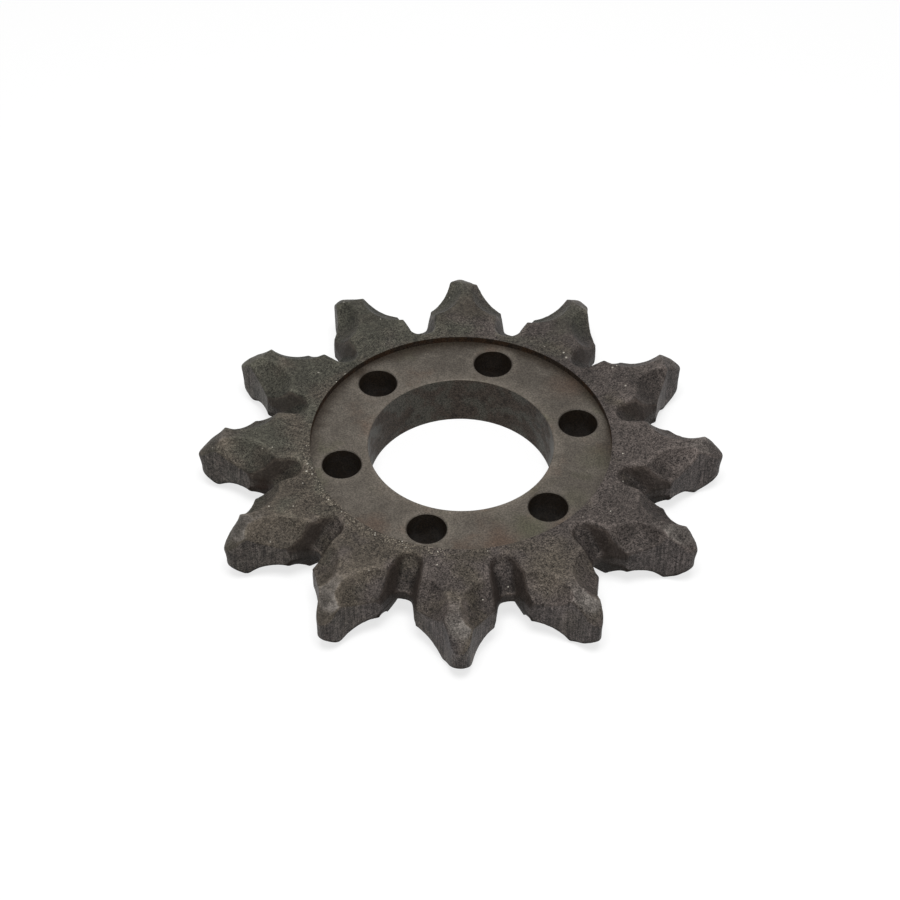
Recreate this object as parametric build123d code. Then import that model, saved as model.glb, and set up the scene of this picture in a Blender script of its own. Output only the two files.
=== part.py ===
from build123d import *
import math
import os

# Chain sprocket: one forged plate with a bored, recessed and drilled hub ring and twelve teeth.
# Millimetres, +Z up, origin on the bore axis at the bottom face, +X along the middle of the first tooth.

# ---- hub -------------------------------------------------------------------------------------------------
thickness = 28.0  # over the two faces of the rim
bore_d = 82.55  # 3 1/4 in
seat_width = 25.625  # of the flat ring round the bore, which takes the flange of the mating hub
recess_depth = 3.0
bolt_count = 6
bolt_hole_d = 17.4  # clears a 5/8 in bolt
bolt_turn = 0.75  # degrees that the drilled pattern stands past the middle of the tooth gaps

# ---- toothed rim, in plan --------------------------------------------------------------------------------
tooth_count = 12
root_r = 84.2  # bottom of the gaps
gap_r = 5.2  # rounding of the bottom
shoulder_rise = 10.3  # from the root circle
gap_half = 7.4  # half width of a gap between the shoulders
shoulder_fillet = 1.6
tip_r = 115.5
nose_r = 4.6  # rounding of the tip
tip_lean = 2.6  # sideways shift of the tip, counterclockwise
flank_hollow = 1.5  # depth of the hollow in each flank

# ---- tip bevels, a long and a short slope on each face ---------------------------------------------------
long_bevel = 6.0  # along the radius
short_bevel = 4.5
bevel_drop = 4.5  # of the long slope, under the upper face
nose_drop = 10.0  # of both
bevel_rise = 3.4  # of the long slope, over the lower face
nose_rise = 8.0

# ---- dishes that thin each tooth to a ridge, two on each face --------------------------------------------
dish_r = 22.3
dish_inset = 16.4  # from the tip circle, along the tooth's middle line
dish_aside = 20.8
dish_lift = 12.9  # height of the ball's centre over the face

# ---- relief notches over the roots, one on each face of every gap ----------------------------------------
notch_run = 11.8  # from the inner end to the root circle
notch_half = 3.6  # at the floor
notch_half_max = 7.8
notch_flare = 21.0  # degrees that each wall leans out
notch_floor_fillet = 2.0
notch_end_r = 4.6  # rounding of the inner end, in plan
web_thickness = 5.2  # left between the two notches at the root

mid = thickness / 2
pitch = 360 / tooth_count
recess_d = bore_d + 2 * seat_width
bolt_circle_d = bore_d + seat_width  # along the middle of the seat
overrun = 1.0  # how far a cutting shape runs past the surface it opens


def nose_centre():
    """Centre of the arc that rounds the tip, in the plan of the first tooth."""
    return Vector(math.sqrt(tip_r**2 - tip_lean**2) - nose_r, tip_lean)


def shoulder(side):
    """Where a flank turns into the gap: side 1 is the counterclockwise flank, -1 the clockwise one."""
    reach = root_r + shoulder_rise
    from_gap = math.degrees(math.asin(gap_half / reach))
    return Vector(reach, 0).rotate(Axis.Z, side * (pitch / 2 - from_gap))


def gap_end(side):
    """Where the straight wall under a shoulder meets the round bottom of the gap."""
    bottom = Vector(root_r + gap_r, 0).rotate(Axis.Z, side * pitch / 2)
    reach = shoulder(side) - bottom
    turn = math.degrees(math.acos(gap_r / reach.length))
    return bottom + reach.normalized().rotate(Axis.Z, -side * turn) * gap_r


def nose_end(side):
    """Where a flank meets the rounding of the tip."""
    run = nose_centre() - shoulder(side)
    bend = 2 * math.atan(2 * flank_hollow / run.length)
    turn = math.degrees(math.acos(nose_r / run.length) - bend)
    return nose_centre() - run.normalized().rotate(Axis.Z, -side * turn) * nose_r


def flank(side):
    """The hollow side of a tooth, from the shoulder to the tip."""
    start = shoulder(side)
    end = nose_end(side)
    inward = (end - start).normalized().rotate(Axis.Z, -side * 90)
    return ThreePointArc(start, (start + end) * 0.5 + inward * flank_hollow, end)


def tooth_outline():
    """The edges of one tooth in plan and of the round bottom of the gap that follows it."""
    nose = nose_centre() + nose_centre().normalized() * nose_r
    bottom = Vector(root_r, 0).rotate(Axis.Z, pitch / 2)
    next_wall = gap_end(-1).rotate(Axis.Z, pitch)
    return [
        Line(gap_end(-1), shoulder(-1)),
        flank(-1),
        ThreePointArc(nose_end(-1), nose, nose_end(1)),
        flank(1),
        Line(shoulder(1), gap_end(1)),
        ThreePointArc(gap_end(1), bottom, next_wall),
    ]


def rim_plan():
    """The outline of the whole sprocket, with its shoulders rounded."""
    turns = [Rot(0, 0, number * pitch) for number in range(tooth_count)]
    plan = make_face(Wire([turn * edge for turn in turns for edge in tooth_outline()]))
    shoulder_r = root_r + shoulder_rise
    corners = [v for v in plan.vertices() if abs(Vector(v.X, v.Y).length - shoulder_r) < 0.01]
    return fillet(corners, shoulder_fillet)


def turned_blank():
    """The body of revolution that gives both faces and the bevels over the tips."""
    bevel_r = tip_r - short_bevel
    upper_run = short_bevel / (nose_drop - bevel_drop)
    lower_run = short_bevel / (nose_rise - bevel_rise)
    section = Polyline(
        (0, 0),
        (bevel_r - long_bevel, 0),
        (bevel_r, bevel_rise),
        (bevel_r + lower_run * (mid - bevel_rise), mid),
        (bevel_r + upper_run * (mid - bevel_drop), mid),
        (bevel_r, thickness - bevel_drop),
        (bevel_r - long_bevel, thickness),
        (0, thickness),
        close=True,
    )
    return revolve(Plane.XZ * make_face(section), Axis.Z)


def dishes():
    """The four balls that thin one tooth, two over each face."""
    ball = Sphere(dish_r)
    along = tip_r - dish_inset
    upper = [Pos(along, side * dish_aside, thickness + dish_lift) * ball for side in (1, -1)]
    lower = [Pos(along, side * dish_aside, -dish_lift) * ball for side in (1, -1)]
    return upper + lower


def notch_plan():
    """The notch as seen from above: a round inner end, flaring sides, then straight ones."""
    start_r = root_r - notch_run
    far_r = 2 * tip_r
    flare_end_r = start_r + (notch_half_max - notch_half) / math.tan(math.radians(notch_flare))
    outline = Polyline(
        (start_r, -notch_half),
        (flare_end_r, -notch_half_max),
        (far_r, -notch_half_max),
        (far_r, notch_half_max),
        (flare_end_r, notch_half_max),
        (start_r, notch_half),
        close=True,
    )
    plan = make_face(outline)
    return fillet(plan.vertices().sort_by(Axis.X)[:2], notch_end_r)


def notch_section():
    """The notch as seen along it: a flat floor with rounded corners between leaning walls."""
    lean = thickness * math.tan(math.radians(notch_flare))
    outline = Polyline(
        (-notch_half, 0),
        (notch_half, 0),
        (notch_half + lean, thickness),
        (-notch_half - lean, thickness),
        close=True,
    )
    section = make_face(outline)
    return fillet(section.vertices().sort_by(Axis.Y)[:2], notch_floor_fillet)


def notch():
    """The cutting shape of the upper notch of the gap that lies along +X: its floor falls outward."""
    fall = Vector(notch_run, 0, web_thickness / 2 - mid)
    lead_in = 0.2  # of the fall, before the floor reaches the face
    start = Vector(root_r - notch_run, 0, thickness) - fall * lead_in
    upright = Plane(start, x_dir=(0, 1, 0), z_dir=(1, 0, 0))
    way_out = 2.4  # of the fall, until the floor has left the rim
    length = fall.length * (lead_in + way_out)
    channel = extrude(upright * notch_section(), amount=length, dir=fall.normalized())
    return channel & extrude(notch_plan(), amount=2 * thickness)


def gap_notches():
    """The upper and lower notches of one gap, half a pitch past the first tooth."""
    upper = Rot(0, 0, pitch / 2) * notch()
    return [upper, mirror(upper, about=Plane.XY.offset(mid))]


def hub_cuts():
    """Bore, recess and bolt holes."""
    from_below = (Align.CENTER, Align.CENTER, Align.MIN)
    through = thickness + 2 * overrun
    cuts = [
        Pos(0, 0, -overrun) * Cylinder(bore_d / 2, through, align=from_below),
        Pos(0, 0, thickness - recess_depth) * Cylinder(recess_d / 2, through, align=from_below),
    ]
    hole = Pos(0, 0, -overrun) * Cylinder(bolt_hole_d / 2, through, align=from_below)
    spots = PolarLocations(bolt_circle_d / 2, bolt_count, start_angle=pitch / 2 + bolt_turn)
    return cuts + [spot * hole for spot in spots]


def sprocket():
    """The whole part."""
    tooth_and_gap_cuts = dishes() + gap_notches()
    cuts = hub_cuts()
    for number in range(tooth_count):
        cuts += [Rot(0, 0, number * pitch) * cut for cut in tooth_and_gap_cuts]
    body = extrude(rim_plan(), amount=thickness) & turned_blank()
    return body - cuts


os.makedirs("parts", exist_ok=True)
export_step(sprocket(), "parts/chain_sprocket.step")
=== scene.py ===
import math

import bmesh
import bpy
import numpy as np
from mathutils import Matrix, Vector, kdtree, noise


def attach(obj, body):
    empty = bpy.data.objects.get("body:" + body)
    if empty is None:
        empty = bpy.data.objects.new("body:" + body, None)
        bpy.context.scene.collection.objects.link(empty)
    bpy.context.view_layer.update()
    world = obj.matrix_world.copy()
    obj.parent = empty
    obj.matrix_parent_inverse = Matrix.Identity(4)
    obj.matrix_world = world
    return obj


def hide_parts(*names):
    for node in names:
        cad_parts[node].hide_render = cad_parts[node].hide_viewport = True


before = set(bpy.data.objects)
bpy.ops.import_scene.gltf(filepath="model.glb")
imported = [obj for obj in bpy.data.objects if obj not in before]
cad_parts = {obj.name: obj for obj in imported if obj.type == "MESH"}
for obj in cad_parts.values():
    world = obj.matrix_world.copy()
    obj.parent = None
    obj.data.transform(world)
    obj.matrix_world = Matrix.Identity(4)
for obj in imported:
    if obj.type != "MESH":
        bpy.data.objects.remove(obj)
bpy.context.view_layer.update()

MM = 0.001  # lengths are written in millimetres and become metres where they are used

# ---- the machined features, where the frame has them
THICKNESS = 28.0
SEAT_Z = 25.0
BORE_R = 41.275
RECESS_R = 66.9
BOLT_R = 54.0875
HOLE_R = 8.7
HOLE_COUNT = 6
FIRST_HOLE = 15.75  # degrees from +X
EDGE_BREAK = 0.35  # chamfer on the bored and drilled edges
OVERRUN = 2.0  # how far a cutting shape runs past the surface it opens

# ---- the forged cuts, where the frame has them
TOOTH_COUNT = 12
DISH_R = 22.3
DISH_PLACE = (99.1, 20.8, 12.9)  # centre of the ball: along the tooth, aside, and out from the face
NOTCH_START = 72.4  # along the middle of the gap
NOTCH_RUN = 11.8
NOTCH_FALL = 11.4  # of the floor over that run
NOTCH_HALF = 3.6
NOTCH_FLARE = 21.0
NOTCH_END_R = 4.6

# ---- what the forging adds to the plain form of the teeth
CROWN_LOW = 0.45  # how far each nose swells, at the underside
CROWN_TOP = 1.8  # the same at the upper face
CROWN_HEIGHTS = (10.0, 21.0)  # between which the one becomes the other
CROWN_SPAN = (3.4, 3.3)  # middle and half width, counterclockwise positive
CUT_BACK = 1.4  # of the clockwise corner of each nose
CUT_BACK_SPAN = (-4.4, 2.3)
NOSE_REACH = (101.0, 110.0)  # where these two start and are in full, along the tooth
FLANK_TRIMS = (  # tooth counted from +X, side (1 is counterclockwise) and depth
    (1, -1, 1.3),
    (11, -1, 1.3),
    (10, 1, 0.8),
    (0, -1, 0.6),
)
TRIM_ALONG = (84.0, 92.0)  # where a trim starts and is in full, along the tooth
TRIM_ACROSS = (1.0, 6.0)  # and out from the tooth's middle

# ---- the round heads and hollow floors of the notches
HEAD_R = 6.4  # in plan
HEAD_PLACE = 77.6  # middle of the head, along the middle of the gap
HEAD_FLARE = 13.2  # degrees, of the outline beyond the head
HEAD_DROP = 1.5  # of the floor at the very end
FLOOR_FALL = 0.82  # of the floor over each millimetre
HOLLOW = 5.0  # how wide a wall blends into the floor, at most
HOLLOW_SHARE = 0.6  # and at most this share of the floor's depth
FILL_LIMIT = 0.4  # how far outside the notch a point may lie and still be raised
HEAD_BLEND = (83.4, 84.8)  # along the gap, where the rounding fades out
HEAD_END = 84.0  # past which a point counts as in the notch as the frame has it
WEB_BLEND = 0.8  # under the floor, where it ends above the web

# ---- the forged skin
PLUG_R = 68.5  # fills bore, recess and holes before the skin is made
VOXEL = 0.5
SOFTENING = 4  # smoothing passes that round the forged edges
MORE_SOFTENING = 20  # and those of the lower edges of the teeth
LOW_HEIGHTS = (3.0, 9.0)  # up to which, and over which, the lower edges get them in full or not at all
LOW_RADII = (86.0, 92.0)  # and from the one radius to the other
FINE_PASSES = 34  # of the skin that sharp edges are told from
BROAD_PASSES = 160  # more, of the one that hollows are told from
SLOPE_PASSES = 6
TRAIT_REACH = 5.0  # beyond which a distance is no longer kept
SKIN_TRIANGLES = 150000
WAVES = ((9.0, 0.08), (3.2, 0.06), (1.6, 0.04))  # width and height of the unevenness
WAVE_SHIFT = 17.3  # between the patterns of the waves, in widths
FLOOR_CLEARANCE = 0.01
BORE_SEGMENTS = 256
HOLE_SEGMENTS = 96
SHARP_ANGLE = 38.0

# ---- camera and light
LENS = 94.75
CAMERA_TURN = 1.5  # degrees about +Z
CAMERA_ELEVATION = 44.83
CAMERA_ROLL = 0.247
CAMERA_PLACE = (-4.755, 14.698, 1068.98)  # in the camera's own axes, from the origin
KEY_PLACE = (0.0, -350.0, 1300.0)
KEY_SIZE = 600.0
KEY_WATTS = 13.5
FILL = 0.35
FLOOR_BOUNCE = 0.30
FLOOR_GLOW = 0.74
FLOOR_SIZE = 6000.0
FLOOR_SEGMENTS = 64
CLIP_START = 50.0


# ======== shapes

def new_object(name, mesh):
    piece = bpy.data.objects.new(name, mesh)
    bpy.context.scene.collection.objects.link(piece)
    return piece


def apply_modifiers(piece):
    """Replaces a piece's mesh with what its modifiers make of it."""
    graph = bpy.context.evaluated_depsgraph_get()
    mesh = bpy.data.meshes.new_from_object(piece.evaluated_get(graph))
    piece.modifiers.clear()
    piece.data = mesh


def read(items, field, width=3):
    """One field of all vertices, edges or faces of a mesh, as rows."""
    kind = np.int32 if field == "vertices" else np.float64
    flat = np.empty(len(items) * width, dtype=kind)
    items.foreach_get(field, flat)
    return flat.reshape(-1, width)


def put_points(mesh, points):
    mesh.vertices.foreach_set("co", points.ravel())
    mesh.update()


class Neighbours:
    """Averages over the edges of a mesh."""

    def __init__(self, mesh):
        ends = read(mesh.edges, "vertices", 2)
        self.source = np.concatenate((ends[:, 0], ends[:, 1]))
        self.target = np.concatenate((ends[:, 1], ends[:, 0]))
        self.count = len(mesh.vertices)
        self.share = 1.0 / np.maximum(np.bincount(self.target, minlength=self.count), 1)

    def mean(self, values):
        sums = [np.bincount(self.target, column[self.source], self.count) for column in values.T]
        return np.stack(sums, axis=1) * self.share[:, None]

    def smooth(self, values, passes):
        for _ in range(passes):
            values = 0.5 * values + 0.5 * self.mean(values)
        return values


def filled_blank(node):
    """The part before machining: its solid with the bore, recess and holes filled."""
    shape = bmesh.new()
    shape.from_mesh(node.data)
    bmesh.ops.create_cone(
        shape,
        cap_ends=True,
        segments=BORE_SEGMENTS,
        radius1=PLUG_R * MM,
        radius2=PLUG_R * MM,
        depth=THICKNESS * MM,
        matrix=Matrix.Translation((0, 0, THICKNESS / 2 * MM)),
    )
    mesh = bpy.data.meshes.new("sprocket")
    shape.to_mesh(mesh)
    shape.free()
    return new_object("sprocket", mesh)


def ramp(value, low, high):
    """Runs smoothly from 0 to 1 as value goes from low to high."""
    share = np.clip((value - low) / (high - low), 0, 1)
    return share * share * (3 - 2 * share)


def nearest_spoke(x, y, first):
    """Angle of the nearest of the spokes, one for each tooth, the first of which lies at an angle."""
    pitch = 2 * math.pi / TOOTH_COUNT
    start = math.radians(first)
    return start + pitch * np.round((np.arctan2(y, x) - start) / pitch)


def along_and_across(x, y, spoke):
    """Places along a spoke and across it, counterclockwise positive."""
    return x * np.cos(spoke) + y * np.sin(spoke), y * np.cos(spoke) - x * np.sin(spoke)


def hump(value, middle, width):
    """1 in the middle, and about a third at one width from it."""
    return np.exp(-(((value - middle) / width) ** 2))


def shape_teeth(points):
    """Crowns the noses, cuts their clockwise corners back and trims a few flanks."""
    x, y, z = points.T / MM
    spoke = nearest_spoke(x, y, 0.0)
    along, across = along_and_across(x, y, spoke)
    crown = CROWN_LOW + (CROWN_TOP - CROWN_LOW) * ramp(z, *CROWN_HEIGHTS)
    outward = crown * hump(across, *CROWN_SPAN) - CUT_BACK * hump(across, *CUT_BACK_SPAN)
    outward *= ramp(along, *NOSE_REACH)
    aside = np.zeros(len(points))
    for tooth, side, depth in FLANK_TRIMS:
        mine = np.round(spoke * TOOTH_COUNT / (2 * math.pi)) % TOOTH_COUNT == tooth
        aside -= mine * side * depth * ramp(side * across, *TRIM_ACROSS) * ramp(along, *TRIM_ALONG)
    shift = (
        outward * np.cos(spoke) - aside * np.sin(spoke),
        outward * np.sin(spoke) + aside * np.cos(spoke),
        np.zeros(len(points)),
    )
    return points + np.stack(shift, axis=1) * MM


def outside_notches(points):
    """How far points lie outside the nearest relief notch, in millimetres."""
    x, y, z = points.T / MM
    along, across = along_and_across(x, y, nearest_spoke(x, y, 180 / TOOTH_COUNT))
    across = abs(across)
    flare = math.radians(NOTCH_FLARE)
    slope = math.atan2(NOTCH_FALL, NOTCH_RUN)
    from_face = np.minimum(z, THICKNESS - z)
    depth = (along - NOTCH_START) / NOTCH_RUN * NOTCH_FALL
    beside = (across - NOTCH_HALF - (depth - from_face) * math.tan(flare)) * math.cos(flare)
    below = (from_face - depth) * math.cos(slope)
    before = NOTCH_START + NOTCH_END_R - along
    end = np.where(before > 0, np.hypot(before, across) - NOTCH_END_R, -NOTCH_END_R)
    return np.maximum(np.maximum(beside, below), end)


def round_notch_plan(along, across):
    """How far places lie inside a rounded notch in plan, and the depth of its floor there."""
    before = np.maximum(HEAD_PLACE - along, 0)
    beyond = np.maximum(along - HEAD_PLACE, 0)
    inside = HEAD_R + beyond * math.tan(math.radians(HEAD_FLARE)) - np.hypot(before, across)
    floor = HEAD_DROP + FLOOR_FALL * (along - HEAD_PLACE + HEAD_R)
    return inside, np.clip(floor, HEAD_DROP, NOTCH_FALL)


def blended(first, second, width):
    """The lesser of two values, with a smooth passage from one to the other."""
    share = np.clip(0.5 + 0.5 * (second - first) / width, 0, 1)
    return second + (first - second) * share - width * share * (1 - share)


def round_notches(points):
    """Gives each notch a round head, and hollows its floor up into its walls."""
    x, y, z = points.T / MM
    along, across = along_and_across(x, y, nearest_spoke(x, y, 180 / TOOTH_COUNT))
    from_face = np.minimum(z, THICKNESS - z)
    inside, floor = round_notch_plan(along, across)
    wall = inside / math.tan(math.radians(NOTCH_FLARE))
    depth = blended(wall, floor, np.minimum(HOLLOW_SHARE * floor, HOLLOW))
    move = depth - from_face
    move[(depth <= 0) | ((move < 0) & (outside_notches(points) > FILL_LIMIT))] = 0
    move *= 1 - ramp(along, *HEAD_BLEND)
    move *= 1 - ramp(from_face, NOTCH_FALL, NOTCH_FALL + WEB_BLEND)
    points = points.copy()
    points[:, 2] += np.where(z < THICKNESS / 2, move, -move) * MM
    return points


def soften_below(near, points):
    """Rounds the lower edges of the teeth further."""
    x, y, z = points.T / MM
    full, none = LOW_HEIGHTS
    share = ramp(-z, -none, -full) * ramp(np.hypot(x, y), *LOW_RADII)
    return points + (near.smooth(points, MORE_SOFTENING) - points) * share[:, None]


def outside_round_notches(points):
    """The same distance once the heads of the notches are rounded."""
    x, y, z = points.T / MM
    along, across = along_and_across(x, y, nearest_spoke(x, y, 180 / TOOTH_COUNT))
    inside, floor = round_notch_plan(along, across)
    rounded = np.maximum(-inside, np.minimum(z, THICKNESS - z) - floor)
    square = outside_notches(points)
    return np.where(along < HEAD_END, np.minimum(rounded, square), square)


def outside_dishes(points):
    """How far points lie outside the nearest dish, in millimetres."""
    x, y, z = points.T / MM
    along, across = along_and_across(x, y, nearest_spoke(x, y, 0.0))
    from_face = np.minimum(z, THICKNESS - z)
    away = (along - DISH_PLACE[0], abs(across) - DISH_PLACE[1], from_face + DISH_PLACE[2])
    return np.sqrt(sum(part**2 for part in away)) - DISH_R


def uneven(points, normal):
    """Moves the skin in and out by a few tenths of a millimetre, as hammered scale does."""
    push = np.zeros(len(points))
    for number, (width, height) in enumerate(WAVES):
        where = points / (width * MM) + WAVE_SHIFT * (number + 1)
        push += height * np.array([noise.noise(Vector(p)) for p in where])
    return points + normal * (push * MM)[:, None]


def forge_skin(blank):
    """One even skin over the blank, with soft uneven edges. Returns its points and their traits."""
    remesh = blank.modifiers.new("skin", "REMESH")
    remesh.mode = "VOXEL"
    remesh.voxel_size = VOXEL * MM
    apply_modifiers(blank)
    mesh = blank.data
    near = Neighbours(mesh)
    soft = near.smooth(round_notches(read(mesh.vertices, "co")), SOFTENING)
    soft = soften_below(near, soft)
    x, y = soft[:, :2].T / MM
    traits = {
        "notch": np.clip(outside_round_notches(soft), -TRAIT_REACH, TRAIT_REACH),
        "dish": np.clip(outside_dishes(soft), -TRAIT_REACH, TRAIT_REACH),
        "across": along_and_across(x, y, nearest_spoke(x, y, 0.0))[1],
    }
    soft = shape_teeth(soft)
    put_points(mesh, soft)
    normal = read(mesh.vertices, "normal")
    wider = soft
    for name, passes in (("fine", FINE_PASSES), ("broad", BROAD_PASSES)):
        wider = near.smooth(wider, passes)
        traits[name] = np.einsum("ij,ij->i", soft - wider, normal) / MM
    traits["up"] = near.smooth(normal, SLOPE_PASSES)[:, 2]
    moved = uneven(soft, normal)
    moved[:, 2] = np.clip(moved[:, 2], FLOOR_CLEARANCE * MM, THICKNESS * MM)
    put_points(mesh, moved)
    return soft, traits


def thin_out(piece, triangles):
    thinning = piece.modifiers.new("thinning", "DECIMATE")
    thinning.ratio = triangles / (2 * len(piece.data.polygons))
    apply_modifiers(piece)


def turned(name, profile, segments, x=0.0, y=0.0):
    """A solid of revolution about a vertical axis, from radius and height pairs."""
    shape = bmesh.new()
    rings = []
    for radius, height in profile:
        ring = []
        for number in range(segments):
            angle = 2 * math.pi * number / segments
            place = (x + radius * math.cos(angle), y + radius * math.sin(angle), height)
            ring.append(shape.verts.new(Vector(place) * MM))
        rings.append(ring)
    for lower, upper in zip(rings, rings[1:]):
        for number in range(segments):
            after = (number + 1) % segments
            shape.faces.new((lower[number], lower[after], upper[after], upper[number]))
    shape.faces.new(reversed(rings[0]))
    shape.faces.new(rings[-1])
    mesh = bpy.data.meshes.new(name)
    shape.to_mesh(mesh)
    shape.free()
    return new_object(name, mesh)


def hole_places():
    for number in range(HOLE_COUNT):
        angle = math.radians(FIRST_HOLE + number * 360 / HOLE_COUNT)
        yield BOLT_R * math.cos(angle), BOLT_R * math.sin(angle)


def drilled(radius, top):
    """Profile of a through hole whose upper edge at height top has its corner broken."""
    return (
        (radius, -OVERRUN),
        (radius, top - EDGE_BREAK),
        (radius + EDGE_BREAK + OVERRUN, top + OVERRUN),
    )


def machine(piece):
    """Bores, recesses and drills the forged piece."""
    cutters = [
        turned("recess", ((RECESS_R, SEAT_Z), (RECESS_R, THICKNESS + OVERRUN)), BORE_SEGMENTS),
        turned("bore", drilled(BORE_R, SEAT_Z), BORE_SEGMENTS),
    ]
    cutters += [turned("hole", drilled(HOLE_R, SEAT_Z), HOLE_SEGMENTS, x, y) for x, y in hole_places()]
    for cutter in cutters:
        cut = piece.modifiers.new(cutter.name, "BOOLEAN")
        cut.operation = "DIFFERENCE"
        cut.solver = "MANIFOLD"
        cut.object = cutter
    apply_modifiers(piece)
    for cutter in cutters:
        bpy.data.objects.remove(cutter)


def spread_traits(piece, skin_points, traits):
    """Gives each point of the finished mesh what the nearest point of the skin was like."""
    tree = kdtree.KDTree(len(skin_points))
    for number, point in enumerate(skin_points):
        tree.insert(point, number)
    tree.balance()
    nearest = [tree.find(vertex.co)[1] for vertex in piece.data.vertices]
    for name, values in traits.items():
        layer = piece.data.attributes.new(name, "FLOAT", "POINT")
        layer.data.foreach_set("value", values[nearest].astype(np.float32))


SKIN, SEAT, RECESS_WALL, BORE_WALL, HOLE_WALL = range(5)


def sort_faces(mesh):
    """Which finish each face has, from where it lies."""
    centre = read(mesh.polygons, "center") / MM
    up = read(mesh.polygons, "normal")[:, 2]
    radius = np.hypot(centre[:, 0], centre[:, 1])
    to_hole = np.min([np.hypot(centre[:, 0] - x, centre[:, 1] - y) for x, y in hole_places()], axis=0)
    close = 0.05
    level = up > 0.5
    upright = abs(up) < 0.2
    finish = np.full(len(centre), SKIN)
    finish[(radius < RECESS_R) & (abs(centre[:, 2] - SEAT_Z) < EDGE_BREAK + close) & level] = SEAT
    finish[(abs(radius - RECESS_R) < close) & (centre[:, 2] > SEAT_Z) & upright] = RECESS_WALL
    finish[(radius < BORE_R + close) & upright] = BORE_WALL
    finish[(to_hole < HOLE_R + close) & upright] = HOLE_WALL
    mesh.polygons.foreach_set("material_index", finish.astype(np.int32))
    mesh.update()


# ======== materials

class Look:
    """A material in the making: each method adds a node and returns its output."""

    def __init__(self, name):
        self.material = bpy.data.materials.new(name)
        self.material.use_nodes = True
        self.tree = self.material.node_tree
        self.tree.nodes.clear()
        self.place = self.node("ShaderNodeTexCoord").outputs["Object"]

    def node(self, kind, inputs=None, **settings):
        made = self.tree.nodes.new(kind)
        for name, value in settings.items():
            setattr(made, name, value)
        for name, value in (inputs or {}).items():
            if isinstance(value, bpy.types.NodeSocket):
                self.tree.links.new(value, made.inputs[name])
            else:
                made.inputs[name].default_value = value
        return made

    def stretched(self, stretch, shift):
        mapping = self.node("ShaderNodeMapping", {"Vector": self.place, "Scale": stretch})
        mapping.inputs["Location"].default_value = (shift, 0.37 * shift, 0.71 * shift)
        return mapping.outputs["Vector"]

    def noise(self, width, detail=2.0, roughness=0.5, shift=0.0, stretch=(1, 1, 1), distortion=0.0):
        inputs = {
            "Vector": self.stretched(stretch, shift),
            "Scale": 1 / (width * MM),
            "Detail": detail,
            "Roughness": roughness,
            "Distortion": distortion,
        }
        return self.node("ShaderNodeTexNoise", inputs).outputs["Fac"]

    def cells(self, width, shift=0.0):
        """Distance to the nearest scattered point in cell widths, and a random value of its cell."""
        inputs = {"Vector": self.stretched((1, 1, 1), shift), "Scale": 1 / (width * MM)}
        made = self.node("ShaderNodeTexVoronoi", inputs)
        parts = self.node("ShaderNodeSeparateColor", {"Color": made.outputs["Color"]})
        return made.outputs["Distance"], parts.outputs["Red"]

    def axes(self):
        """The three coordinates in millimetres."""
        parts = self.node("ShaderNodeSeparateXYZ", {"Vector": self.place}).outputs
        return [self.math("DIVIDE", part, MM) for part in parts]

    def length(self, x, y):
        """Length of a flat vector."""
        return self.math("POWER", self.plus(self.times(x, x), self.times(y, y)), 0.5)

    def spot(self, place, reach, ragged):
        """1 in the middle of a patch round a place, and 0 at about its reach, with a ragged edge."""
        away = self.node("ShaderNodeVectorMath", operation="DISTANCE")
        self.tree.links.new(self.place, away.inputs[0])
        away.inputs[1].default_value = tuple(value * MM for value in place)
        distance = self.math("DIVIDE", away.outputs["Value"], MM)
        rough = self.noise(ragged, detail=3.0, shift=place[0])
        return self.step(self.plus(distance, self.times(rough, 0.8 * reach)), 1.4 * reach, 0.5 * reach)

    def to_hole(self, x, y, radius):
        """Distance from the axis of the nearest bolt hole."""
        spacing = 2 * math.pi / HOLE_COUNT
        angle = self.minus(self.math("ARCTAN2", y, x), math.radians(FIRST_HOLE))
        turns = self.math("DIVIDE", angle, spacing)
        off = self.times(self.minus(turns, self.math("ROUND", turns)), spacing)
        along = self.minus(self.times(radius, self.math("COSINE", off)), BOLT_R)
        return self.length(along, self.times(radius, self.math("SINE", off)))

    def attribute(self, name):
        return self.node("ShaderNodeAttribute", attribute_name=name).outputs["Fac"]

    def between(self, share, first, second):
        """A value between two values."""
        return self.plus(first, self.times(self.minus(second, first), share))

    def step(self, value, low, high, out_low=0.0, out_high=1.0):
        """Runs smoothly from out_low to out_high as value goes from low to high."""
        inputs = {
            "Value": value,
            "From Min": low,
            "From Max": high,
            "To Min": out_low,
            "To Max": out_high,
        }
        return self.node("ShaderNodeMapRange", inputs, interpolation_type="SMOOTHSTEP").outputs[0]

    def math(self, operation, first, second=0.0):
        made = self.node("ShaderNodeMath", operation=operation, use_clamp=False)
        for number, value in enumerate((first, second)):
            if isinstance(value, bpy.types.NodeSocket):
                self.tree.links.new(value, made.inputs[number])
            else:
                made.inputs[number].default_value = value
        return made.outputs[0]

    def times(self, first, *others):
        for other in others:
            first = self.math("MULTIPLY", first, other)
        return first

    def plus(self, first, *others):
        for other in others:
            first = self.math("ADD", first, other)
        return first

    def minus(self, first, second):
        return self.math("SUBTRACT", first, second)

    def greater(self, first, second):
        return self.math("MAXIMUM", first, second)

    def mix(self, share, first, second, blend="MIX"):
        """A colour between two colours."""
        made = self.node("ShaderNodeMix", data_type="RGBA", blend_type=blend)
        for number, value in ((0, share), (6, first), (7, second)):
            if isinstance(value, bpy.types.NodeSocket):
                self.tree.links.new(value, made.inputs[number])
            elif number == 0:
                made.inputs[number].default_value = value
            else:
                made.inputs[number].default_value = (*value, 1.0)
        return made.outputs[2]

    def shade(self, colour, factor):
        """A colour made lighter or darker by a factor."""
        grey = self.node("ShaderNodeCombineColor", {"Red": factor, "Green": factor, "Blue": factor})
        return self.mix(1.0, colour, grey.outputs[0], "MULTIPLY")

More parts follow.
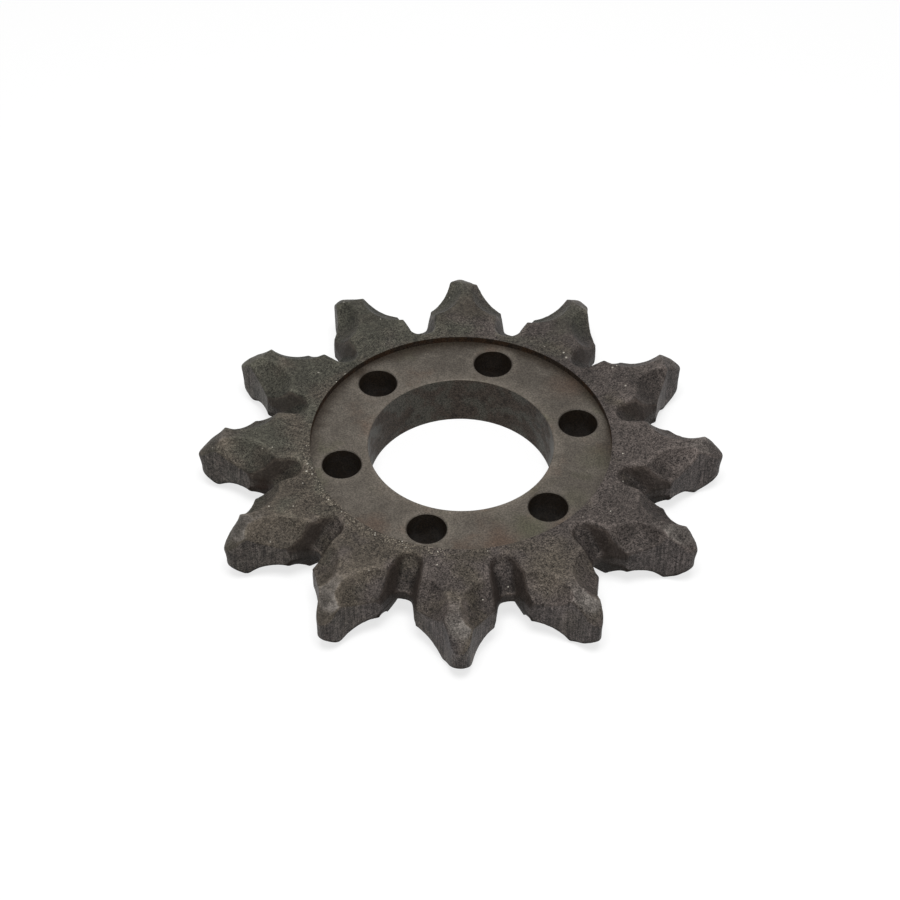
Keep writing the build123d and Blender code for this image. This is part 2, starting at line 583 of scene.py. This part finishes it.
    def tone(self, colour, *changes):
        """A colour made lighter or darker by the sum of some changes, each a share and its strength."""
        total = [self.times(share, strength) for share, strength in changes]
        return self.shade(colour, self.plus(1.0, *total))

    def bump(self, height, depth, below=None):
        inputs = {"Height": height, "Distance": depth * MM, "Strength": 1.0}
        if below is not None:
            inputs["Normal"] = below
        return self.node("ShaderNodeBump", inputs).outputs["Normal"]

    def finish(self, colour, roughness, normal, metallic=0.0, specular=0.5):
        inputs = {
            "Base Color": colour,
            "Roughness": roughness,
            "Normal": normal,
            "Metallic": metallic,
            "Specular IOR Level": specular,
        }
        surface = self.node("ShaderNodeBsdfPrincipled", inputs)
        output = self.node("ShaderNodeOutputMaterial")
        self.tree.links.new(surface.outputs[0], output.inputs["Surface"])
        return self.material


OLIVE = (0.0575, 0.0550, 0.043)
BROWN = (0.065, 0.0545, 0.043)
PINKISH = (0.0655, 0.0545, 0.0490)
# a greyer colour, painted reflection on the flanks and the front nose
REFLECTION_GREY = (0.063, 0.0550, 0.0530)
# dark brown painted as shade on the notch walls
NOTCH_WALL_SHADE = (0.040, 0.030, 0.025)
# worn steel, also used as a painted highlight over the tips
WORN_AND_LIT = (0.098, 0.088, 0.079)
RUST = (0.022, 0.011, 0.006)
SHADED = (0.017, 0.0125, 0.0090)
GRIT = (0.62, 0.58, 0.50)
DUST = (0.26, 0.23, 0.18)
GRAINS = (  # bright grains that lie on the upper face
    (45.7, 57.8),
    (47.0, 54.6),
    (68.0, 48.4),
    (73.7, 36.6),
    (-66.0, 40.7),
    (-53.7, 39.9),
    (-64.6, -20.5),
    (-66.8, -18.0),
    (-66.9, -22.6),
    (-64.3, -24.2),
)
TONE_AND_HIGHLIGHT_PATCHES = (  # patches painted lighter or darker, the lighter ones over the near teeth and the right tooth painted highlight: middle, reach and change
    ((-46.0, -80.0, 26.0), 24.0, 0.30),
    ((46.0, -80.0, 26.0), 24.0, 0.30),
    ((94.0, 6.0, 26.0), 20.0, 0.35),
    ((-72.0, -52.0, 26.0), 16.0, 0.25),
    ((80.0, -48.0, 26.0), 20.0, -0.18),
    ((52.0, 50.0, 26.0), 26.0, -0.22),
    ((-50.0, 86.0, 26.0), 18.0, -0.25),
)
RUSTY = ((-88.0, -18.0, 12.5), 8.0)  # the rusty gap: middle and reach
LINED = (  # where the edges of a dish and a notch get a brighter painted highlight, with some rubbed wear: middle and reach
    ((-80.0, -12.0, 27.0), 11.0),
    ((-88.0, -3.0, 27.0), 9.0),
    ((-65.0, -51.0, 27.0), 10.0),
)
TINTS = (  # where it is browner or greener, and at the front nose greyer as a painted reflection: middle, reach and colour
    ((2.0, 88.0, 26.0), 16.0, BROWN),
    ((52.0, 84.0, 26.0), 16.0, OLIVE),
    ((42.0, -74.0, 27.0), 20.0, BROWN),
    ((-3.0, -113.0, 20.0), 9.0, REFLECTION_GREY),
)


GRAIN_WIDTH = 0.52
PIT_WIDTH = 2.0
CLOUD_WIDTH = 8.0
MARK_WIDTH = 0.9
PATCH_WIDTH = 14.0  # of the raggedness of the patches


class ForgedLook(Look):
    """Dark forged scale: grainy, olive to brown, with painted shade in the cuts, and worn bright with a
    painted highlight over the tips.
    """

    def __init__(self):
        super().__init__("forged_skin")
        self.fine, self.broad, self.up = map(self.attribute, ("fine", "broad", "up"))
        self.notch, self.dish, self.across = map(self.attribute, ("notch", "dish", "across"))
        self.x, self.y, self.z = self.axes()
        self.radius = self.length(self.x, self.y)
        self.grain = self.noise(GRAIN_WIDTH, detail=1.5, roughness=0.75, shift=2.0)
        self.pits = self.noise(PIT_WIDTH, detail=2.0, roughness=0.6, shift=3.0)
        self.clouds = self.noise(CLOUD_WIDTH, detail=3.0, roughness=0.6, shift=4.0)
        self.ragged = self.times(self.minus(self.pits, 0.5), 1.6)
        self.in_notch = self.step(self.plus(self.notch, self.times(self.ragged, 0.25)), 0.55, 0.15)
        self.in_dish = self.step(self.plus(self.dish, self.times(self.ragged, 0.6)), 0.8, 0.1)
        self.flank = self.step(self.up, 0.40, 0.12)
        self.level = self.step(self.up, 0.4, 0.7)
        self.tip = self.worn_and_lit_tip()
        self.edge = self.rubbed_and_lit_edges()
        self.under = self.underside()
        self.marks = self.trim_marks()

    def worn_and_lit_tip(self):
        """The bevels over the tip, worn bright and with a painted highlight that is stronger on the near
        teeth, apart from the dishes and the very nose.
        """
        open_land = self.times(self.minus(1.0, self.in_dish), self.minus(1.0, self.in_notch))
        outer = self.step(self.radius, 92.0, 108.0)
        outer = self.times(outer, self.step(self.radius, 115.5, 111.5, 0.2, 1.0))
        outer = self.times(outer, open_land, self.step(self.up, 0.45, 0.80))
        outer = self.times(outer, self.step(self.y, 30.0, -40.0, 0.2, 1.0))
        return self.times(outer, self.step(self.clouds, 0.32, 0.60, 0.5, 1.0))

    def rubbed_and_lit_edges(self):
        """Thin bright lines on the ridges, on the shoulders of the dishes and on the rims of the notches:
        painted highlight with some rubbed wear, the shoulders stronger on the near side.
        """
        ridge = self.times(self.step(self.fine, 0.04, 0.18), self.step(self.up, 0.10, 0.40))
        beside_dish = self.step(self.dish, 1.3, 0.6)
        shoulder = self.times(beside_dish, self.step(self.z, 23.8, 26.2), self.step(self.radius, 88.0, 95.0))
        shoulder = self.times(shoulder, self.step(self.y, 60.0, 0.0, 0.3, 1.0))
        lined = 0.0
        for place, reach in LINED:
            lined = self.greater(lined, self.spot(place, reach, 10.0))
        arc = self.times(beside_dish, self.step(self.dish, 0.0, 0.3), self.step(self.z, 25.0, 26.8))
        shoulder = self.greater(shoulder, self.times(arc, lined))
        rim = self.times(self.step(self.notch, 0.1, 0.5), self.step(self.notch, 1.5, 0.8))
        rim = self.times(rim, self.step(lined, 0.0, 1.0, 0.25, 0.90))
        edge = self.greater(self.times(ridge, 0.6), self.times(self.greater(rim, shoulder), self.level))
        return self.times(edge, self.step(self.clouds, 0.35, 0.60, 0.4, 1.0))

    def underside(self):
        """The lower dishes and notches, and whatever faces down."""
        cut = self.greater(self.in_dish, self.in_notch)
        return self.greater(self.times(cut, self.step(self.z, 13.5, 10.5)), self.step(self.up, 0.0, -0.35))

    def trim_marks(self):
        """Upright marks, as the trimming die leaves them, about 0."""
        marks = self.noise(MARK_WIDTH, detail=2.0, roughness=0.7, shift=7.0, stretch=(1, 1, 0.07))
        return self.minus(marks, 0.5)

    def scale(self):
        """Brown, turning pinkish to the right and olive to the back left, and greyer on the flanks as a
        painted reflection.
        """
        drift = self.noise(20.0, detail=3.0, shift=1.0)
        warm = self.plus(self.times(self.x, 0.0022), drift)
        colour = self.mix(self.step(warm, 0.40, 0.60), BROWN, PINKISH)
        olive = self.noise(16.0, detail=3.0, shift=6.0)
        green = self.plus(self.times(self.minus(self.y, self.x), 0.0026), olive)
        colour = self.mix(self.step(green, 0.52, 0.84), colour, OLIVE)
        for place, reach, tint in TINTS:
            colour = self.mix(self.spot(place, reach, PATCH_WIDTH), colour, tint)
        # greyer on the flanks, a painted reflection of the pale floor
        return self.mix(self.times(self.flank, 0.5), colour, REFLECTION_GREY)

    def speckle(self):
        """Light and dark grains, about 0: stronger to the right and in the cuts, weaker on the worn and lit
        tips and the painted edge highlights.
        """
        dots = self.cells(GRAIN_WIDTH, shift=9.0)[1]
        speckle = self.plus(self.times(dots, 0.45), self.times(self.grain, 0.90))
        speckle = self.step(speckle, 0.275, 1.075, -0.78, 0.78)
        distance, chance = self.cells(0.75, shift=12.0)
        bright = self.times(self.math("GREATER_THAN", chance, 0.94), self.step(distance, 0.45, 0.25))
        rightward = self.plus(self.times(self.x, 0.87), self.times(self.y, -0.50))
        coarse = self.step(rightward, 0.0, 45.0, 0.72, 1.10)
        coarse = self.between(self.step(self.radius, 84.0, 78.0), coarse, 1.1)
        coarse = self.between(self.times(self.in_notch, self.level), coarse, 1.20)
        coarse = self.between(self.times(self.in_dish, 0.6), coarse, 1.15)
        coarse = self.between(self.flank, coarse, 0.95)
        coarse = self.times(coarse, self.step(self.edge, 0.0, 1.0, 1.0, 0.6))
        coarse = self.times(coarse, self.step(self.tip, 0.3, 1.0, 1.0, 0.75))
        return self.times(self.plus(speckle, bright), coarse)

    def shade_cuts(self, colour):
        """Painted shade in the notches, dishes and hollows and under the cuts, painted light and shade on
        the dish ends and the teeth's sides, darker over the noses, and the painted edge highlights.
        """
        # painted shade in the notches, lighter towards their heads
        colour = self.shade(colour, self.step(self.in_notch, 0.0, 1.0, 1.0, 0.64))
        head = self.times(self.in_notch, self.step(self.radius, 78.0, 73.5))
        colour = self.tone(colour, (head, 0.35))
        # the notch walls darker still, painted shade
        walls = self.times(self.in_notch, self.step(self.up, 0.62, 0.45))
        colour = self.mix(self.times(walls, 0.5), colour, NOTCH_WALL_SHADE)
        # painted shade in the dishes
        colour = self.shade(colour, self.step(self.in_dish, 0.0, 1.0, 1.0, 0.84))
        # painted highlight on the outer end of each dish, painted shade along its counterclockwise edge
        lit_dish_end = self.times(self.in_dish, self.step(self.radius, 99.0, 106.0))
        shaded_dish_side = self.times(self.in_dish, self.step(self.across, 12.5, 15.5))
        shaded_dish_side = self.times(shaded_dish_side, self.step(self.radius, 100.0, 94.0))
        colour = self.tone(colour, (lit_dish_end, 0.25), (shaded_dish_side, -0.28))
        upper = self.step(self.up, 0.4, 0.6)
        # painted shade on the clockwise side of the far teeth
        shaded_far_side = self.times(self.step(self.across, 0.0, -5.0), self.step(self.y, 10.0, 50.0), upper)
        shaded_far_side = self.times(shaded_far_side, self.step(self.radius, 84.0, 88.0))
        shaded_far_side = self.times(shaded_far_side, self.step(self.radius, 102.0, 98.0))
        colour = self.tone(colour, (shaded_far_side, -0.26))
        # painted highlight on the clockwise side of each nose
        lit_tooth_side = self.times(self.step(self.across, -1.5, -4.0), self.step(self.radius, 101.0, 104.0))
        lit_tooth_side = self.times(lit_tooth_side, self.step(self.radius, 110.0, 107.0), upper)
        colour = self.tone(colour, (lit_tooth_side, 0.28))
        colour = self.shade(colour, self.step(self.radius, 108.0, 112.0, 1.0, 0.93))
        # painted highlight with some rubbed wear along the ridges, dish shoulders and notch rims, stronger
        # in the notches
        colour = self.tone(colour, (self.edge, self.plus(0.5, self.times(self.in_notch, 0.9))))
        # painted shade in the broad hollows
        colour = self.shade(colour, self.step(self.broad, -0.30, -0.80, 1.0, 0.75))
        # painted shade under the cuts and on faces that turn down
        return self.mix(self.times(self.under, 0.93), colour, SHADED)

    def mark_flanks(self, colour):
        """Trim marks and mottle down the flanks, shade towards the roots, and rust in one gap."""
        mottle = self.noise(3.0, detail=4.0, roughness=0.75, shift=8.0, stretch=(1, 1, 0.55))
        mottle = self.times(self.minus(mottle, 0.5), 2.0)
        colour = self.tone(colour, (self.flank, self.plus(0.24, self.times(self.marks, 3.4), mottle)))
        inward = self.step(self.plus(self.radius, self.times(self.ragged, 2.0)), 97.0, 88.5)
        colour = self.mix(self.times(self.flank, inward, 0.75), colour, SHADED)
        rusty = self.times(self.spot(*RUSTY, 4.0), self.greater(self.flank, self.in_notch))
        return self.mix(self.times(rusty, 0.9), colour, RUST)

    def strew(self, colour):
        """Bright grit here and there, and more of it, with dust, along the near left of the recess."""
        near_edge = self.times(self.step(self.radius, 74.0, 68.5), self.step(self.y, 8.0, -12.0))
        near_edge = self.times(near_edge, self.step(self.x, 10.0, -12.0))
        more = self.times(near_edge, self.step(self.clouds, 0.40, 0.60, 0.3, 1.0))
        distance, chance = self.cells(1.5, shift=5.0)
        chosen = self.math("GREATER_THAN", chance, self.plus(0.991, self.times(more, -0.20)))
        grit = self.times(self.step(distance, 0.28, 0.17), chosen)
        for place in GRAINS:
            grit = self.greater(grit, self.spot((*place, THICKNESS), 0.75, 2.0))
        upward = self.step(self.up, 0.5, 0.9)
        grit = self.times(grit, upward, self.step(self.grain, 0.35, 0.60, 0.3, 0.9))
        colour = self.mix(grit, colour, GRIT)
        distance, chance = self.cells(0.85, shift=6.0)
        dust = self.times(self.math("GREATER_THAN", chance, 0.52), self.step(distance, 0.46, 0.24))
        dust = self.times(dust, near_edge, self.step(self.clouds, 0.33, 0.52, 0.3, 0.9), upward)
        return self.mix(dust, colour, DUST)

    def relief(self):
        """Grain, pits and trim marks as bumps."""
        normal = self.bump(self.grain, 0.22)
        normal = self.bump(self.pits, 0.35, normal)
        return self.bump(self.times(self.marks, self.flank), 0.35, normal)


def forged_look():
    """The material of the forged skin, from the scale up to the grit that lies on it."""
    look = ForgedLook()
    # tip bevels worn bright, with a painted highlight stronger on the near teeth
    colour = look.mix(look.tip, look.scale(), WORN_AND_LIT)
    # lighter and darker patches, the lighter ones over the near and right teeth a painted highlight
    for place, reach, change in TONE_AND_HIGHLIGHT_PATCHES:
        colour = look.tone(colour, (look.spot(place, reach, PATCH_WIDTH), change))
    colour = look.shade(colour, look.plus(1.0, look.speckle()))
    colour = look.shade(colour, look.step(look.pits, 0.30, 0.65, 0.81, 1.17))
    colour = look.shade(colour, look.step(look.clouds, 0.30, 0.70, 0.77, 1.17))
    colour = look.strew(look.mark_flanks(look.shade_cuts(colour)))
    roughness = look.step(look.grain, 0.3, 0.7, 0.68, 0.52)
    metallic = look.step(look.under, 0.0, 1.0, 0.4, 0.0)
    specular = look.step(look.under, 0.0, 1.0, 0.2, 0.05)
    return look.finish(colour, roughness, look.relief(), metallic, specular)


STEEL = (0.104, 0.090, 0.074)
STEEL_DULL = (0.076, 0.065, 0.053)
STAIN_RUST = (0.084, 0.056, 0.040)
STAIN_OLIVE = (0.072, 0.068, 0.044)
# dark stains, and the painted shadow at the foot of the recess wall
DARK_STAIN_AND_SHADOW = (0.030, 0.021, 0.014)


SEAT_STAINS = (  # middle, reach, strength and colour
    ((-47.0, 44.0, 25.0), 8.0, 0.8, DARK_STAIN_AND_SHADOW),
    ((18.0, -58.0, 25.0), 12.0, 0.85, STAIN_RUST),
    ((31.0, -52.0, 25.0), 11.0, 0.85, STAIN_OLIVE),
    ((46.0, -50.0, 25.0), 10.0, 0.7, STAIN_RUST),
    ((47.0, 38.0, 25.0), 13.0, 0.55, STAIN_RUST),
    ((60.0, -8.0, 25.0), 12.0, 0.45, STAIN_OLIVE),
    ((50.0, -32.0, 25.0), 9.0, 0.35, STAIN_OLIVE),
)


SEAT_TONES = (  # middle, reach and change
    ((14.0, 54.0, 25.0), 16.0, 0.18),
    ((40.0, -38.0, 25.0), 20.0, -0.16),
    ((-47.0, -27.0, 25.0), 14.0, -0.10),
)


def seat_look():
    """The turned hub ring: smooth steel with faint blotches, rust and oil tints, paler hole rims, and a
    painted shadow with some dirt at the foot of the recess wall.
    """
    look = Look("turned_seat")
    x, y = look.axes()[:2]
    radius = look.length(x, y)
    blotch = look.noise(13.0, detail=5.0, roughness=0.66, shift=11.0, distortion=0.5)
    colour = look.mix(look.step(blotch, 0.36, 0.64), STEEL, STEEL_DULL)
    rust = look.noise(26.0, detail=4.0, roughness=0.6, shift=14.0)
    colour = look.mix(look.step(rust, 0.52, 0.70, 0.0, 0.6), colour, STAIN_RUST)
    oil = look.noise(22.0, detail=4.0, roughness=0.6, shift=19.0)
    colour = look.mix(look.step(oil, 0.54, 0.72, 0.0, 0.6), colour, STAIN_OLIVE)
    colour = look.tone(colour, (look.plus(x, y), -0.0010))
    for place, reach, change in SEAT_TONES:
        colour = look.tone(colour, (look.spot(place, reach, PATCH_WIDTH), change))
    # painted shadow of the recess wall, with some dirt: darker towards the wall, more at the back, less
    # round the holes
    foot = look.step(look.plus(radius, look.times(blotch, 8.0)), 63.5, 70.0)
    to_hole = look.to_hole(x, y, radius)
    foot = look.times(foot, look.step(y, -25.0, 10.0, 0.1, 1.0), look.step(to_hole, 11.0, 15.0, 0.2, 1.0))
    colour = look.mix(look.times(foot, 0.72), colour, DARK_STAIN_AND_SHADOW)
    for place, reach, strength, stain in SEAT_STAINS:
        colour = look.mix(look.times(look.spot(place, reach, 8.0), strength), colour, stain)
    fleck = look.noise(0.7, detail=1.0, roughness=0.6, shift=21.0)
    colour = look.shade(colour, look.step(fleck, 0.28, 0.72, 0.70, 1.28))
    distance, chance = look.cells(1.1, shift=25.0)
    dot = look.step(distance, 0.45, 0.25)
    colour = look.tone(colour, (look.times(dot, look.math("GREATER_THAN", chance, 0.94)), 0.35))
    colour = look.tone(colour, (look.times(dot, look.math("LESS_THAN", chance, 0.06)), -0.35))
    rim = look.greater(look.step(to_hole, 13.5, 10.0), look.step(radius, 50.0, 42.5))
    colour = look.tone(colour, (rim, 0.22))
    colour = look.shade(colour, look.step(radius, 44.5, 42.0, 1.0, 1.15))
    mouth = look.step(to_hole, 9.6, 8.9)
    colour = look.tone(colour, (mouth, -0.30))
    normal = look.bump(look.noise(1.2, detail=3.0, roughness=0.6, shift=23.0), 0.05)
    roughness = look.step(blotch, 0.3, 0.7, 0.42, 0.56)
    return look.finish(colour, roughness, normal, metallic=0.45, specular=0.3)


BORE_SPOTS = (  # angle from +X, height, reach and strength
    (127.0, 9.0, 3.6, 0.8),
    (120.0, 6.5, 2.4, 0.8),
    (150.0, 12.5, 2.4, 0.8),
    (61.0, 7.0, 2.6, 0.8),
    (48.0, 11.5, 2.2, 0.8),
    (38.0, 16.0, 2.2, 0.8),
    (5.0, 14.0, 13.0, 0.3),
)


def wall_look(name, clean, stained, shift, specular, spots=()):
    """A bored or drilled wall: steel in the colours it is given, with brown patches and faint tool marks
    round the axis.
    """
    look = Look(name)
    patches = look.noise(9.0, detail=3.0, roughness=0.6, shift=shift, distortion=0.3)
    colour = look.mix(look.step(patches, 0.42, 0.56), clean, stained)
    dark = look.noise(4.5, detail=3.0, roughness=0.6, shift=shift + 1)
    colour = look.shade(colour, look.step(dark, 0.54, 0.66, 1.08, 0.66))
    for angle, height, reach, strength in spots:
        turn = math.radians(angle)
        middle = (BORE_R * math.cos(turn), BORE_R * math.sin(turn), height)
        colour = look.mix(look.times(look.spot(middle, reach, 3.0), strength), colour, DARK_STAIN_AND_SHADOW)
    fleck = look.noise(0.65, detail=2.0, roughness=0.6, shift=shift + 3)
    colour = look.shade(colour, look.step(fleck, 0.25, 0.75, 0.30, 1.70))
    rings = look.noise(0.5, detail=1.0, shift=shift + 5, stretch=(0.02, 0.02, 1.0))
    normal = look.bump(rings, 0.02)
    roughness = look.step(patches, 0.4, 0.65, 0.50, 0.65)
    return look.finish(colour, roughness, normal, metallic=0.1, specular=specular)


def floor_look():
    """White as the camera and mirrors see it, with the object's shadow, but a plain grey for light."""
    look = Look("studio_floor")
    path = look.node("ShaderNodeLightPath").outputs
    seen = look.greater(path["Is Camera Ray"], path["Is Glossy Ray"])
    seen = look.greater(seen, path["Is Transmission Ray"])
    bounce = (FLOOR_BOUNCE, FLOOR_BOUNCE, FLOOR_BOUNCE, 1.0)
    matt = look.node("ShaderNodeBsdfDiffuse", {"Color": bounce})
    glow = look.node("ShaderNodeEmission", {"Strength": look.times(seen, FLOOR_GLOW)})
    both = look.node("ShaderNodeAddShader")
    look.tree.links.new(matt.outputs[0], both.inputs[0])
    look.tree.links.new(glow.outputs[0], both.inputs[1])
    output = look.node("ShaderNodeOutputMaterial")
    look.tree.links.new(both.outputs[0], output.inputs["Surface"])
    return look.material


# ======== studio

def make_studio():
    floor = turned("floor", ((FLOOR_SIZE, -1.0), (FLOOR_SIZE, 0.0)), FLOOR_SEGMENTS)
    floor.data.materials.append(floor_look())
    world = bpy.data.worlds.new("studio")
    bpy.context.scene.world = world
    world.use_nodes = True
    nodes, links = world.node_tree.nodes, world.node_tree.links
    background = nodes["Background"]
    background.inputs["Color"].default_value = (1, 1, 1, 1)
    path = nodes.new("ShaderNodeLightPath")
    seen = path.outputs["Is Camera Ray"]
    for name in ("Is Glossy Ray", "Is Transmission Ray"):
        either = nodes.new("ShaderNodeMath")
        either.operation = "MAXIMUM"
        links.new(seen, either.inputs[0])
        links.new(path.outputs[name], either.inputs[1])
        seen = either.outputs[0]
    level = nodes.new("ShaderNodeMapRange")
    level.inputs["To Min"].default_value = FILL
    level.inputs["To Max"].default_value = 1.0
    links.new(seen, level.inputs["Value"])
    links.new(level.outputs[0], background.inputs["Strength"])
    lamp = bpy.data.lights.new("key", "AREA")
    lamp.energy = KEY_WATTS
    lamp.size = KEY_SIZE * MM
    key = bpy.data.objects.new("key", lamp)
    bpy.context.scene.collection.objects.link(key)
    key.location = Vector(KEY_PLACE) * MM
    key.rotation_euler = (-key.location).to_track_quat("-Z", "Y").to_euler()


def make_camera():
    lens = bpy.data.cameras.new("camera")
    lens.lens = LENS
    lens.clip_start = CLIP_START * MM
    camera = bpy.data.objects.new("camera", lens)
    bpy.context.scene.collection.objects.link(camera)
    turn = Matrix.Rotation(math.radians(CAMERA_TURN), 4, "Z")
    tilt = Matrix.Rotation(math.radians(90 - CAMERA_ELEVATION), 4, "X")
    roll = Matrix.Rotation(math.radians(CAMERA_ROLL), 4, "Z")
    place = Matrix.Translation(Vector(CAMERA_PLACE) * MM)
    camera.matrix_world = turn @ tilt @ roll @ place
    bpy.context.scene.camera = camera


# ======== the sprocket

def make_sprocket():
    sprocket = filled_blank(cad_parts["chain_sprocket"])
    skin_points, traits = forge_skin(sprocket)
    thin_out(sprocket, SKIN_TRIANGLES)
    machine(sprocket)
    spread_traits(sprocket, skin_points, traits)
    mesh = sprocket.data
    mesh.materials.clear()
    for material in (
        forged_look(),
        seat_look(),
        # the recess wall near-black, painted shade
        wall_look("recess_wall", (0.027, 0.020, 0.015), (0.034, 0.020, 0.012), 31.0, 0.1),
        wall_look("bore_wall", (0.066, 0.061, 0.050), (0.060, 0.048, 0.039), 41.0, 0.12, BORE_SPOTS),
        wall_look("hole_wall", (0.019, 0.014, 0.010), (0.015, 0.010, 0.006), 51.0, 0.1),
    ):
        mesh.materials.append(material)
    sort_faces(mesh)
    mesh.shade_smooth()
    mesh.set_sharp_from_angle(angle=math.radians(SHARP_ANGLE))
    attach(sprocket, "root")
    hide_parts("chain_sprocket")


make_sprocket()
make_studio()
make_camera()
bpy.context.scene.view_settings.view_transform = "Standard"
